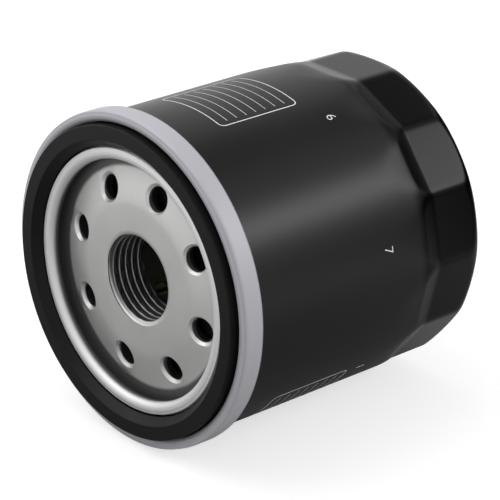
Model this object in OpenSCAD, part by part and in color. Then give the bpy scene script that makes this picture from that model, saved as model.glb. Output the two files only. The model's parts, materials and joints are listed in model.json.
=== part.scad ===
// Spin-on oil filter for a small engine: a drawn steel canister with a fluted closed end,
// closed by a threaded plate, and a spring-loaded pleated element with its bypass valve inside.
// Every piece is drawn about the thread's axis, with its open end up, and laid on its side at the end.

/* [Canister] */
// Outside diameter of the plain wall
can_d = 65.26; // [58:0.02:90]
// Length from the threaded plate's outer face to the closed end
can_l = 63.4; // [50:0.1:120]
// Sheet thickness of the canister
can_wall = 0.42; // [0.3:0.01:0.8]
// Number of wrench flats round the closed end
flute_n = 14; // [12:1:16]
// Width across two opposite wrench flats, as a step down from the wall on each side
flute_drop = 1.13; // [0.8:0.01:2]
// Length of the wrench flats, up to the closed end
flute_l = 16.2; // [8:0.1:20]
// Length of the slope between the plain wall and a flat
flute_ramp = 3.6; // [0.5:0.1:6]
// Radius round the edge of the closed end
end_round = 4; // [1:0.1:6]

/* [Rolled seam] */
// Sheet thickness of the seaming lid
lid_t = 0.43; // [0.3:0.01:0.8]
// Height of the rolled seam above the plate's outer face
seam_up = 2.5; // [1.5:0.1:5]
// Depth of the rolled seam below the plate's outer face
seam_down = 2.4; // [1.5:0.1:5]
// Gap between neighbouring layers of the seam
seam_gap = 0.03; // [0.01:0.01:0.08]
// Thickness of the sealing compound at the top of the seam
compound_t = 0.16; // [0.08:0.01:0.3]
// Width of the lid's rolled inner bead
bead_w = 2.65; // [1.8:0.05:4]
// Height of the bead above the plate's outer face
bead_up = 2.41; // [1:0.01:4]
// Gap between the end of the bead's inner leg and the plate
bead_gap = 1.6; // [0.3:0.1:2.5]

/* [Sealing gasket] */
// Radial width of the gasket
gasket_w = 4.4; // [3:0.1:8]
// Height of the gasket above the rolled seam
gasket_proud = 1.46; // [0.5:0.02:3]
// Clearance beside the gasket in its channel
gasket_side = 0.15; // [0.05:0.01:0.4]
// Width of the gasket's inner chamfer
gasket_bevel_w = 1.5; // [0.5:0.1:2.5]
// Depth of the gasket's inner chamfer
gasket_bevel_h = 1.75; // [0.5:0.05:2.5]

/* [Threaded plate] */
// Plate thickness
plate_t = 2.6; // [1.5:0.1:5]
// Fall of the dished plate, from its middle to the flat that carries the lid
plate_step = 1.2; // [0.5:0.1:2.5]
// Width of the dished slope
dish_w = 8; // [4:0.1:10]
// Gap between the plate's edge and the canister's inside
plate_edge_gap = 0.9; // [0.4:0.1:2]
// Gap between the foot of the slope and the lid's bead
dish_gap = 1.7; // [1:0.1:4]
// Thread's minor diameter, as a plain bore
thread_minor_d = 17.4; // [12:0.1:26]
// Width of the thread's lead-in, outside the minor diameter
thread_lead_w = 0.75; // [0.3:0.05:1]
// Depth of the thread's lead-in
thread_lead = 0.4; // [0.2:0.05:0.5]
// Length of the threaded neck below the plate's outer face
neck_l = 9; // [6:0.1:14]
// Wall of the threaded neck, outside the minor diameter
neck_wall = 2.3; // [1.5:0.1:4]
// Number of inlet holes
inlet_n = 8; // [4:1:12]
// Inlet hole diameter
inlet_d = 5; // [3:0.1:7]
// Width of the bevel round an inlet hole
inlet_bevel = 0.6; // [0.2:0.05:1]
// Angle of the first inlet hole, from the flat that faces down
inlet_turn = 30.87; // [0:0.01:45]

/* [Drain-back valve] */
// Wall of the valve's hub
valve_hub_w = 1.9; // [1:0.1:3]
// Thickness of the valve's flap
valve_flap_t = 0.9; // [0.5:0.1:2]
// Drop from the flap's lip to its root
valve_cone = 0.9; // [0.5:0.1:2]
// Height between the threaded plate and the element
valve_room = 4.65; // [3.5:0.05:8]
// Thickness of the flange that rests on the element
valve_seat_t = 1.2; // [0.6:0.1:2]
// Width of the flange that rests on the element
valve_seat_w = 3.4; // [2:0.1:5]

/* [Element] */
// Gap between the element's outside and the canister's inside
element_gap = 4.6; // [3:0.1:10]
// Space between the element and the closed end
element_tail = 7; // [5:0.1:14]
// Sheet thickness of the end caps
cap_t = 0.5; // [0.3:0.05:1]
// Height of the end caps' skirts
cap_skirt = 3; // [2:0.1:6]
// Thickness of the adhesive in each end cap
glue_t = 1.6; // [0.8:0.1:3]
// Wall of the centre tube
tube_t = 0.5; // [0.3:0.05:1]
// Diameter of the centre tube's holes
tube_hole_d = 3.2; // [2:0.1:5]
// Holes in each ring of the centre tube
tube_hole_n = 8; // [6:1:12]
// Rings of holes along the centre tube
tube_rings = 6; // [3:1:10]
// Number of pleats
pleat_n = 48; // [30:1:60]
// Thickness of the pleated paper
pleat_t = 0.5; // [0.3:0.05:0.8]
// Sheet thickness of the clip on the pleats' joint
clip_t = 0.35; // [0.2:0.05:0.6]
// Depth of the clip
clip_deep = 3.2; // [2:0.1:5]

/* [Bypass valve] */
// Inside radius of the valve's housing
bypass_r = 9; // [7:0.1:11]
// Sheet thickness of the valve's housing
bypass_t = 0.5; // [0.3:0.05:1]
// Radius of the valve's opening
bypass_port_r = 5.6; // [4:0.1:7]
// Height of the housing above its seat
bypass_h = 14; // [10:0.1:20]
// Travel of the poppet
bypass_lift = 3; // [1:0.1:4]
// Thickness of the rubber seal
bypass_seal_t = 1; // [0.5:0.1:2]
// Wire diameter of the valve's spring
bypass_wire = 0.9; // [0.5:0.05:1.2]
// Turns of the valve's spring
bypass_turns = 4.5; // [3:0.5:7]

/* [Element spring] */
// Wire diameter of the element's spring
spring_wire = 1.7; // [1:0.1:2.5]
// Turns of the element's spring
spring_turns = 2.5; // [2:0.5:5]
// Height that the lower end cap is raised to hold the spring
spring_seat_h = 3; // [2:0.1:5]

/* [Hidden] */
$fn = 96;

// Clearance of a sliding fit, on the radius
fit = 0.1;
// Clearance between pieces that only pass each other
clear = 0.3;
// Overlap that makes two shapes of one piece join
join = 0.01;

// Heights. Zero is where the full thread begins, and the plate's outer face is above it.
plate_z = thread_lead;
plate_low_z = plate_z - plate_step;
plate_back_z = plate_z - plate_t;
plate_foot_z = plate_low_z - plate_t;
neck_z = plate_z - neck_l;
end_z = plate_z - can_l;
end_inner_z = end_z + can_wall;
flute_z = end_z + flute_l;
seam_top_z = plate_z + seam_up;
seam_bottom_z = plate_z - seam_down;
gasket_z = seam_top_z + gasket_proud;

// Radii of the seam's layers, from the canister's wall outwards and inwards
can_r = can_d / 2;
can_inner_r = can_r - can_wall;
hook_r = can_r + lid_t + 2 * seam_gap;
fold_r = (can_r + hook_r) / 2;
fold_in = (hook_r - can_r) / 2;
fold_out = fold_in + can_wall;
cover_in = fold_out + seam_gap;
cover_out = cover_in + lid_t;
rim_r = fold_r + cover_out;
channel_r = fold_r - cover_out;
tuck_in = (rim_r - lid_t - (hook_r - seam_gap)) / 2;
tuck_out = tuck_in + lid_t;
tuck_r = rim_r - tuck_out;
tuck_z = seam_bottom_z + tuck_out;
cover_z = seam_top_z - cover_out;
fold_z = cover_z - compound_t;

// Radii of the gasket, the bead and the plate
gasket_r = channel_r - gasket_side;
gasket_inner_r = gasket_r - gasket_w;
bead_out = bead_w / 2;
bead_in = bead_out - lid_t;
bead_r = gasket_inner_r - gasket_side - bead_out;
bead_z = plate_z + bead_up - bead_out;
dish_r = bead_r - bead_out - dish_gap;
land_r = dish_r - dish_w;
plate_r = can_inner_r - plate_edge_gap;
bore_r = thread_minor_d / 2;
neck_r = bore_r + neck_wall;
neck_flare = 1;
inlet_r = (land_r + dish_r) / 2;
inlet_tilt = atan(1.5 * plate_step / dish_w);

// Drain-back valve
hub_in_r = neck_r + fit;
hub_r = hub_in_r + valve_hub_w;
lip_w = 1;
lip_r = dish_r + lip_w;
cap_z = plate_back_z - valve_room;

// Element
cap_r = can_inner_r - element_gap;
collar_r = hub_r + fit;
collar_l = 3.5;
tube_in_r = collar_r + cap_t + seam_gap;
tube_r = tube_in_r + tube_t;
tail_z = end_inner_z + element_tail;
tube_top_z = cap_z - cap_t;
tube_bottom_z = tail_z + cap_t;
tube_l = tube_top_z - tube_bottom_z;
media_top_z = tube_top_z - glue_t;
media_bottom_z = tube_bottom_z + glue_t;
media_l = media_top_z - media_bottom_z;
media_in_r = tube_r + 0.4;
media_r = cap_r - cap_t - 0.6;

// Bypass valve, in the raised middle of the lower end cap
shelf_z = tail_z + spring_seat_h;
seat_z = shelf_z;
housing_r = bypass_r + bypass_t;
housing_top_z = seat_z + bypass_h;
flange_r = housing_r + 1.3;
disc_r = bypass_r - clear;
disc_z = seat_z + bypass_seal_t;
disc_t = 0.6;
retainer_t = 0.6;
coil_r = 5.2;

// Element spring, between the raised middle of the lower end cap and the spring's seat
seat_t = 0.5;
seat_rise = 1.4;
spring_r = collar_r - clear - spring_wire / 2;
spring_bottom_z = end_inner_z + seat_t;

// Lays a piece on its side, with the threaded end towards -Y and a wrench flat facing down
module lay() {
    rotate([90, 0, 0])
        children();
}

// A ring of rectangular section, between two radii and two heights
module ring(r1, r2, z1, z2) {
    rotate_extrude()
        ring_section(r1, r2, z1, z2);
}

module ring_section(r1, r2, z1, z2) {
    translate([r1, z1])
        square([r2 - r1, z2 - z1]);
}

// Half of a round bend in sheet metal, seen in section: up = 1 bends over, up = -1 bends under
module bend_section(r, z, inside, outside, up) {
    intersection() {
        difference() {
            translate([r, z])
                circle(r = outside);
            translate([r, z])
                circle(r = inside);
        }
        translate([r - outside, up > 0 ? z : z - outside])
            square([2 * outside, outside]);
    }
}

// Regular outline with flute_n flats, one of them facing -Y, at a given distance from the axis
module flats_outline(apothem) {
    corner_r = apothem / cos(180 / flute_n);
    polygon([for (i = [0 : flute_n - 1])
        corner_r * [cos(360 * (i + 0.5) / flute_n - 90), sin(360 * (i + 0.5) / flute_n - 90)]]);
}

// Space inside a skin of the canister: the wall's radius, the flats and the closed end, all moved in
module can_body(inset, top_z) {
    wall_r = can_r - inset;
    flat_r = can_r - flute_drop - inset;
    corner = end_round - inset;
    intersection() {
        rotate_extrude() {
            ring_section(0, wall_r, end_z + inset + corner, top_z);
            ring_section(0, wall_r - corner, end_z + inset, end_z + inset + corner + join);
            intersection() {
                translate([wall_r - corner, end_z + inset + corner])
                    circle(r = corner);
                ring_section(0, wall_r, end_z, top_z);
            }
        }
        union() {
            translate([0, 0, end_z])
                linear_extrude(height = flute_l - flute_ramp + join)
                    flats_outline(flat_r);
            translate([0, 0, flute_z - flute_ramp])
                linear_extrude(height = flute_ramp, scale = (wall_r + join) / (flat_r * cos(180 / flute_n)))
                    flats_outline(flat_r);
            translate([0, 0, flute_z - join])
                cylinder(h = top_z - flute_z + 2 * join, r = wall_r + 1);
        }
    }
}

// Helical wire with flat ends between two heights, as a tube with rings along the helix
module coil_spring(mean_r, wire, turns, z1, z2) {
    sides = 8;
    steps = 24;
    count = round(turns * steps);
    wire_r = wire / 2;
    low = z1 + wire_r;
    rise = z2 - z1 - wire;
    // The first and last three quarters of a turn close up, as the ends of a coil do
    dead = 0.75;
    function height(t) = low + rise * min(max((t - dead) / (turns - 2 * dead), 0), 1);
    function place(i, j) =
        let (t = i / steps, a = 360 * t, s = 360 * (j + 0.5) / sides)
        [(mean_r + wire_r * cos(s)) * cos(a), (mean_r + wire_r * cos(s)) * sin(a),
            height(t) + wire_r * sin(s)];
    points = [for (i = [0 : count]) for (j = [0 : sides - 1]) place(i, j)];
    walls = [for (i = [0 : count - 1]) for (j = [0 : sides - 1])
        let (k = (j + 1) % sides)
        [i * sides + j, (i + 1) * sides + j, (i + 1) * sides + k, i * sides + k]];
    start = [[for (j = [0 : sides - 1]) j]];
    finish = [[for (j = [sides - 1 : -1 : 0]) count * sides + j]];
    polyhedron(points = points, faces = concat(walls, start, finish), convexity = 8);
}

// Drawn steel shell: plain wall, wrench flats round the closed end and a hook folded out at the mouth
module canister() {
    color([0.13, 0.13, 0.13])
        lay() {
            difference() {
                can_body(0, tuck_z - 1);
                can_body(can_wall, tuck_z);
            }
            rotate_extrude() {
                ring_section(can_inner_r, can_r, tuck_z - 1 - join, fold_z);
                bend_section(fold_r, fold_z, fold_in, fold_out, 1);
                ring_section(hook_r, hook_r + can_wall, tuck_z, fold_z + join);
            }
        }
}

// Thin lid: rolled inner bead, gasket channel and the outer roll that hooks round the canister
module seaming_lid() {
    color([0.68, 0.68, 0.70])
        lay()
            rotate_extrude() {
                // Bead, with its inner leg short of the plate
                bend_section(bead_r, bead_z, bead_in, bead_out, 1);
                ring_section(bead_r - bead_out, bead_r - bead_in, plate_low_z + bead_gap, bead_z + join);
                ring_section(bead_r + bead_in, bead_r + bead_out, plate_low_z, bead_z + join);
                // Channel
                ring_section(bead_r + bead_in, channel_r + lid_t, plate_low_z, plate_low_z + lid_t);
                ring_section(channel_r, channel_r + lid_t, plate_low_z, cover_z + join);
                // Outer roll
                bend_section(fold_r, cover_z, cover_in, cover_out, 1);
                ring_section(rim_r - lid_t, rim_r, tuck_z - join, cover_z + join);
                bend_section(tuck_r, tuck_z, tuck_in, tuck_out, -1);
                ring_section(tuck_r - tuck_out, tuck_r - tuck_in, tuck_z - join, fold_z);
            }
}

// Sealing compound between the lid and the canister's fold
module seam_compound() {
    color([0.75, 0.72, 0.60])
        lay()
            rotate_extrude()
                intersection() {
                    difference() {
                        translate([fold_r, cover_z])
                            circle(r = cover_in - seam_gap / 2);
                        translate([fold_r, fold_z])
                            circle(r = fold_out + seam_gap / 2);
                    }
                    ring_section(fold_r - fold_in, fold_r + fold_in, fold_z, seam_top_z);
                }
}

// One face of the dished slope, from the raised middle out to the low flat
function dish_face(z) =
    [for (i = [0 : 12])
        let (t = i / 12)
        [land_r + dish_w * t, z - plate_step * t * t * (3 - 2 * t)]];

function backwards(points) = [for (i = [len(points) - 1 : -1 : 0]) points[i]];

// Thick plate, dished outside the thread, with inlet holes square to its slope
module threaded_plate() {
    color([0.62, 0.62, 0.63])
        lay()
            difference() {
                rotate_extrude()
                    polygon(concat(
                        [[bore_r, plate_z]], dish_face(plate_z),
                        [[plate_r, plate_low_z], [plate_r, plate_foot_z]],
                        backwards(dish_face(plate_back_z)),
                        [[neck_r + neck_flare, plate_back_z], [neck_r, plate_back_z - neck_flare],
                            [neck_r, neck_z], [bore_r, neck_z]]));
                // Lead-in of the thread, at both ends of the neck
                translate([0, 0, plate_z - thread_lead])
                    cylinder(h = thread_lead, r1 = bore_r, r2 = bore_r + thread_lead_w);
                translate([0, 0, neck_z])
                    cylinder(h = thread_lead, r1 = bore_r + thread_lead_w, r2 = bore_r);
                for (i = [0 : inlet_n - 1])
                    rotate(inlet_turn + i * 360 / inlet_n)
                        translate([inlet_r, 0, plate_z - plate_step / 2])
                            rotate([0, inlet_tilt, 0]) {
                                cylinder(h = 4 * plate_t, d = inlet_d, center = true);
                                translate([0, 0, -inlet_bevel])
                                    cylinder(h = 2 * inlet_bevel, r1 = inlet_d / 2,
                                        r2 = inlet_d / 2 + 2 * inlet_bevel);
                            }
            }
}

// Square-cut rubber ring with a chamfered inner edge
module sealing_gasket() {
    floor_z = plate_low_z + lid_t;
    color([0.10, 0.10, 0.10])
        lay()
            rotate_extrude()
                polygon([
                    [gasket_inner_r, floor_z], [gasket_r, floor_z], [gasket_r, gasket_z],
                    [gasket_inner_r + gasket_bevel_w, gasket_z],
                    [gasket_inner_r, gasket_z - gasket_bevel_h]]);
}

// Rubber valve: hub round the neck, flange on the element and a flap whose lip covers the inlets
module drainback_valve() {
    root_z = plate_foot_z - valve_cone;
    relief = neck_flare + fit;
    color([0.10, 0.10, 0.10])
        lay()
            rotate_extrude()
                polygon([
                    [hub_in_r, plate_back_z - relief], [hub_in_r + relief, plate_back_z],
                    [hub_r, plate_back_z], [hub_r, root_z],
                    [lip_r - lip_w, plate_foot_z], [lip_r, plate_foot_z],
                    [lip_r, plate_foot_z - valve_flap_t], [hub_r, root_z - valve_flap_t],
                    [hub_r, cap_z + valve_seat_t], [hub_r + valve_seat_w, cap_z + valve_seat_t],
                    [hub_r + valve_seat_w, cap_z], [hub_r, cap_z],
                    [hub_r, cap_z - collar_l + cap_t], [hub_in_r, cap_z - collar_l + cap_t]]);
}

// Pressed cap that holds the upper ends of the media and the tube
module upper_end_cap() {
    color([0.72, 0.70, 0.62])
        lay()
            rotate_extrude() {
                ring_section(collar_r, cap_r, cap_z - cap_t, cap_z);
                ring_section(cap_r - cap_t, cap_r, cap_z - cap_skirt, cap_z);
                ring_section(collar_r, collar_r + cap_t, cap_z - collar_l, cap_z);
            }
}

// Cured adhesive ring that fills the trough of an end cap
module adhesive(z1) {
    color([0.80, 0.64, 0.36])
        lay()
            ring(tube_r + seam_gap, cap_r - cap_t - seam_gap, z1, z1 + glue_t);
}

module upper_adhesive() {
    adhesive(media_top_z);
}

module lower_adhesive() {
    adhesive(tube_bottom_z);
}

// Perforated steel tube that keeps the media from collapsing
module centre_tube() {
    pitch = tube_l / (tube_rings + 1);
    color([0.66, 0.66, 0.66])
        lay()
            difference() {
                ring(tube_in_r, tube_r, tube_bottom_z, tube_top_z);
                for (k = [1 : tube_rings])
                    for (i = [0 : tube_hole_n - 1])
                        translate([0, 0, tube_bottom_z + k * pitch])
                            rotate([0, 90, (i + (k % 2) / 2) * 360 / tube_hole_n])
                                cylinder(h = tube_r + 1, d = tube_hole_d);
            }
}

// Star-shaped outline: its tips reach one radius and its valleys another
module star(tip_r, valley_r) {
    step = 180 / pleat_n;
    polygon([for (i = [0 : 2 * pleat_n - 1])
        let (r = i % 2 == 0 ? tip_r : valley_r)
        r * [cos(i * step), sin(i * step)]]);
}

// Filter paper folded into pleats, with one constant thickness
module pleated_media() {
    // Radial shift between the two faces of a wall that is nearly radial
    half_pitch = (media_r + media_in_r) / 2 * PI / pleat_n;
    shift = pleat_t * norm([media_r - media_in_r, half_pitch]) / half_pitch;
    color([0.87, 0.80, 0.62])
        lay()
            translate([0, 0, media_bottom_z])
                linear_extrude(height = media_l)
                    difference() {
                        star(media_r, media_in_r + shift);
                        star(media_r - shift, media_in_r);
                    }
}

// Folded metal strip that joins the two ends of the media on one pleat
module pleat_clip() {
    outer_r = media_r + clip_t + seam_gap;
    slot_w = pleat_t + 2 * fit + clip_deep * 2 * tan(180 / pleat_n);
    color([0.60, 0.60, 0.60])
        lay()
            translate([0, 0, media_bottom_z + clear])
                linear_extrude(height = media_l - 2 * clear)
                    difference() {
                        translate([outer_r - clip_deep, -slot_w / 2 - clip_t])
                            square([clip_deep, slot_w + 2 * clip_t]);
                        translate([outer_r - clip_deep - 1, -slot_w / 2])
                            square([clip_deep + 1 - clip_t, slot_w]);
                    }
}

// Pressed cap that holds the lower ends, with a raised middle for the spring and the bypass valve
module lower_end_cap() {
    color([0.72, 0.70, 0.62])
        lay()
            rotate_extrude() {
                ring_section(collar_r, cap_r, tail_z, tail_z + cap_t);
                ring_section(cap_r - cap_t, cap_r, tail_z, tail_z + cap_skirt);
                ring_section(collar_r, collar_r + cap_t, tail_z, shelf_z + cap_t);
                ring_section(housing_r + seam_gap, collar_r + cap_t, shelf_z, shelf_z + cap_t);
            }
}

// Cup of the bypass valve: seat, slotted wall and a flange under the end cap
module bypass_housing() {
    slot_n = 4;
    slot_w = 6;
    slot_z = seat_z + bypass_seal_t + disc_t;
    slot_h = bypass_lift + 3;
    color([0.70, 0.70, 0.68])
        lay()
            difference() {
                rotate_extrude() {
                    ring_section(bypass_port_r, flange_r, seat_z - bypass_t, seat_z);
                    ring_section(bypass_r, housing_r, seat_z - bypass_t, housing_top_z);
                }
                for (i = [0 : slot_n - 1])
                    rotate(i * 360 / slot_n)
                        translate([bypass_r - 1, -slot_w / 2, slot_z])
                            cube([bypass_t + 2, slot_w, slot_h]);
            }
}

// Rubber washer on the poppet's face
module bypass_seal() {
    color([0.15, 0.15, 0.15])
        lay()
            ring(bypass_port_r - 1, disc_r - fit, seat_z, disc_z);
}

// Poppet: a disc with a raised cup that centres the spring
module bypass_poppet() {
    cup_r = coil_r - bypass_wire / 2 - fit;
    cup_h = 2.4;
    color([0.74, 0.73, 0.70])
        lay()
            rotate_extrude() {
                ring_section(0, disc_r, disc_z, disc_z + disc_t);
                ring_section(0, cup_r - disc_t, disc_z, disc_z + cup_h);
                ring_section(0, cup_r, disc_z, disc_z + cup_h - disc_t);
                intersection() {
                    translate([cup_r - disc_t, disc_z + cup_h - disc_t])
                        circle(r = disc_t);
                    ring_section(0, cup_r, disc_z, disc_z + cup_h);
                }
            }
}

module bypass_spring() {
    color([0.58, 0.60, 0.62])
        lay()
            coil_spring(coil_r, bypass_wire, bypass_turns, disc_z + disc_t,
                housing_top_z - retainer_t);
}

// Cap crimped over the housing's mouth, which the bypass spring pushes on
module bypass_retainer() {
    lip_l = 2.2;
    eye_r = 3;
    color([0.66, 0.66, 0.64])
        lay()
            rotate_extrude() {
                ring_section(eye_r, bypass_r - seam_gap, housing_top_z - retainer_t, housing_top_z);
                ring_section(bypass_r - 1, housing_r + seam_gap + retainer_t,
                    housing_top_z, housing_top_z + retainer_t);
                ring_section(housing_r + seam_gap, housing_r + seam_gap + retainer_t,
                    housing_top_z - lip_l, housing_top_z + retainer_t);
            }
}

module element_spring() {
    color([0.55, 0.57, 0.60])
        lay()
            coil_spring(spring_r, spring_wire, spring_turns, spring_bottom_z, shelf_z);
}

// Pressed ring on the closed end that centres the element's spring
module spring_seat() {
    inner_r = spring_r - spring_wire / 2 - fit - seat_t;
    outer_r = spring_r + spring_wire / 2 + 2;
    color([0.70, 0.70, 0.68])
        lay() {
            ring(inner_r, outer_r, end_inner_z, end_inner_z + seat_t);
            ring(inner_r, inner_r + seat_t, end_inner_z, end_inner_z + seat_t + seat_rise);
        }
}

canister();
seaming_lid();
seam_compound();
threaded_plate();
sealing_gasket();
drainback_valve();
upper_end_cap();
upper_adhesive();
centre_tube();
pleated_media();
pleat_clip();
lower_adhesive();
lower_end_cap();
bypass_housing();
bypass_seal();
bypass_poppet();
bypass_spring();
bypass_retainer();
element_spring();
spring_seat();
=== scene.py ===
"""A spin-on oil filter lying on its side, built round its packed frame, and the studio it lies in.

Heights run along the thread's axis and grow towards the threaded end. A turn is counted about that
axis from +X towards +Z, as seen from the threaded end. Lengths are in metres.
"""

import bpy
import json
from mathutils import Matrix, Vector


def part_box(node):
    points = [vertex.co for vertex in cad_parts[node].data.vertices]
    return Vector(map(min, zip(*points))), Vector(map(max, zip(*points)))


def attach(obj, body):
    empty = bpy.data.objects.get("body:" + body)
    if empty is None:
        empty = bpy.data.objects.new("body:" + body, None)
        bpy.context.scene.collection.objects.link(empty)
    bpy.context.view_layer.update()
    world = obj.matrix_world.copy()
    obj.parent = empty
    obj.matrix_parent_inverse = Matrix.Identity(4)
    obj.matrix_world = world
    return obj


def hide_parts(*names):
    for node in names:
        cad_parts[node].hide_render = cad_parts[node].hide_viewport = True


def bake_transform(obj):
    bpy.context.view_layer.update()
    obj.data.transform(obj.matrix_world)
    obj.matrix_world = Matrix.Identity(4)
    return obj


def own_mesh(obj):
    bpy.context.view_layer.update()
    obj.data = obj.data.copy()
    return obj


bl_info = {
    "name": "Spin-on Oil Filter",
    "version": (1, 0, 0),
    "blender": (4, 5, 0),
    "location": "3D View > Sidebar > Oil Filter",
    "description": "Builds a spin-on oil filter and the studio it lies in",
    "category": "Add Mesh",
}

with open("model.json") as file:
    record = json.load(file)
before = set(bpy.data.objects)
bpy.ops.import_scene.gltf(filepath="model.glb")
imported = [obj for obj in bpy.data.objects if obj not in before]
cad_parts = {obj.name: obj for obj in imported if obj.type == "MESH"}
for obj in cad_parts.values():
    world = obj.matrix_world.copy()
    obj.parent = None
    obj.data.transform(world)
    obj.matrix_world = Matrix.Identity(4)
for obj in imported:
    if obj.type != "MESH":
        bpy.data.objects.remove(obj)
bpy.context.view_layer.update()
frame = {"nodes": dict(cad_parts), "record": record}

import json
import math
from collections import namedtuple
from functools import cache
from types import SimpleNamespace

import bmesh
import bpy
from bpy.props import (
    FloatProperty, FloatVectorProperty, IntProperty, PointerProperty,
)
from mathutils import Matrix, Vector

MM = 0.001
HAIR = MM / 100            # A distance that counts as none.
FULL_TURN = 2 * math.pi
QUARTER_STEPS = 6          # Steps round a quarter of the smallest rounds.
WHITE = (1.0, 1.0, 1.0, 1.0)
BLACK = (0.0, 0.0, 0.0, 1.0)


# --- Properties, which are named after their keys when they are registered ---

def length(description, mm):
    """A length that a user may change, given in millimetres and kept in metres."""
    return FloatProperty(
        description=description, default=mm * MM, min=0.0, unit="LENGTH", precision=5)


def number(description, value, least=0.0, unit="NONE"):
    """A number that isn't a length of the filter's own."""
    return FloatProperty(description=description, default=value, min=least, unit=unit)


def colour(description, rgb):
    """A colour, in linear light."""
    return FloatVectorProperty(
        description=description, default=rgb, size=3, min=0.0, max=1.0, subtype="COLOR")


def angle(description, degrees):
    """An angle, given in degrees and kept in radians."""
    return FloatProperty(description=description, default=math.radians(degrees), subtype="ANGLE")


def count(description, value):
    """A whole number of like things."""
    return IntProperty(description=description, default=value, min=1)


class OilFilterCanister(bpy.types.PropertyGroup):
    radius: length("Outside radius of the plain wall", 32.63)
    sheet: length("Thickness of the drawn sheet", 0.42)
    flutes: count("Wrench flats round the closed end", 14)
    flute_drop: length("Depth of a flat below the plain wall", 1.13)
    flute_length: length("Length of the flats, up to the closed end", 16.2)
    flute_ramp: length("Length of the slope that leads to a flat", 3.6)
    flute_step: length("Height of that slope, below the soft shoulder", 0.55)
    shoulder: length("Length of the soft shoulder before that slope", 10.0)
    ridge_sharpness: number("Higher makes the ridges between flats sharper", 240.0, 10.0)
    end_round: length("Radius round the closed end's edge", 4.0)
    crease: length("Softness of the creases where a flat leaves the wall", 0.3)


class OilFilterLid(bpy.types.PropertyGroup):
    sheet: length("Thickness of the lid", 0.43)
    layer_gap: length("Gap between layers of the rolled seam", 0.03)
    compound: length("Thickness of the sealing compound", 0.16)
    bead_width: length("Width of the rolled inner bead", 2.65)
    bead_height: length("Height of the bead above the plate", 2.41)
    leg_gap: length("Gap between the bead's inner leg and the plate", 1.6)


class OilFilterPlate(bpy.types.PropertyGroup):
    thickness: length("Thickness of the plate", 2.6)
    fall: length("Fall from the plate's middle to the flat that carries the lid", 1.2)
    dish: length("Width of the dished slope", 8.0)
    dish_gap: length("Gap between the foot of the slope and the bead", 1.7)
    edge_round: length("Radius of the pressed edges", 0.5)
    neck_wall: length("Wall of the neck outside the thread", 2.3)
    lead_width: length("Width of the thread's lead-in", 0.75)
    lead_depth: length("Depth of the thread's lead-in", 0.4)
    thread_pitch: length("Distance from one turn of thread to the next", 1.5875)
    thread_depth: length("Depth of the thread's groove", 0.82)
    inlets: count("Inlet holes in the plate", 8)
    inlet_radius: length("Radius of an inlet hole", 2.5)
    inlet_bevel: length("Width of the bevel round an inlet hole", 0.6)
    inlet_turn: angle("Turn of the first inlet hole", 30.87)


class OilFilterGasket(bpy.types.PropertyGroup):
    width: length("Radial width of the gasket", 4.4)
    bevel_width: length("Width of the inner chamfer", 1.5)
    bevel_height: length("Depth of the inner chamfer", 1.75)
    edge_round: length("Radius of the moulded edges", 0.18)
    side_gap: length("Gap beside the gasket in its channel", 0.15)


class OilFilterElement(bpy.types.PropertyGroup):
    cap_sheet: length("Thickness of the end caps", 0.5)
    cap_skirt: length("Height of the end caps' skirts", 3.0)
    hub_wall: length("Wall of the drain-back valve's hub", 1.9)
    valve_cone: length("Drop from the flap's lip to its root", 0.9)
    valve_lip: length("Width of the flap's sealing lip", 1.0)
    flap: length("Thickness of the drain-back valve's flap", 0.9)
    valve_seat: length("Thickness of the flange on the element", 1.2)
    valve_flange: length("Width of the flange on the element", 3.4)
    tube_sheet: length("Wall of the centre tube", 0.5)
    tube_hole: length("Radius of the centre tube's holes", 1.6)
    tube_columns: count("Holes in each ring of the centre tube", 8)
    tube_rings: count("Rings of holes along the centre tube", 6)
    pleats: count("Pleats in the filter paper", 48)
    paper: length("Thickness of the filter paper", 0.5)
    shelf: length("Height of the lower cap's raised middle", 3.0)
    fit: length("Clearance of a sliding fit", 0.1)


class OilFilterBypass(bpy.types.PropertyGroup):
    sheet: length("Thickness of the valve's housing", 0.5)
    bore: length("Inside radius of the valve's housing", 9.0)
    port: length("Radius of the valve's opening", 5.6)
    slots: count("Slots in the housing's wall", 4)
    slot_width: length("Width of a slot", 6.0)
    slot_height: length("Height of a slot", 6.0)
    disc: length("Thickness of the poppet's disc", 0.6)
    eye: length("Radius of the retainer's eye", 3.0)
    coil_radius: length("Mean radius of the bypass spring", 5.2)
    wire: length("Wire diameter of the bypass spring", 0.9)
    turns: number("Turns of the bypass spring", 4.5, 2.0)
    tail_wire: length("Wire diameter of the element spring", 1.7)
    tail_turns: number("Turns of the element spring", 2.5, 2.0)


class OilFilterPrint(bpy.types.PropertyGroup):
    ink: length("Thickness of the print", 0.02)
    line: length("Width of a printed line", 0.22)
    digit_height: length("Height of the index numbers", 2.25)
    thinning: length("How much each side of a number's strokes is thinned", 0.035)
    digit_place: length("Distance from the plate's face to the index numbers", 36.45)
    digit_turn: angle("Turn of the last index number", 12.5)
    numbers: count("Index numbers round the wall", 7)
    panel_place: length("Distance from the plate's face to the panels' middle", 22.75)
    panel_depth: length("Size of a panel along the axis", 19.7)
    panel_round: length("Radius of a panel's corners", 1.2)
    rules: count("Ruled lines in a panel", 7)
    rule: length("Width of a ruled line", 0.12)


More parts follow.
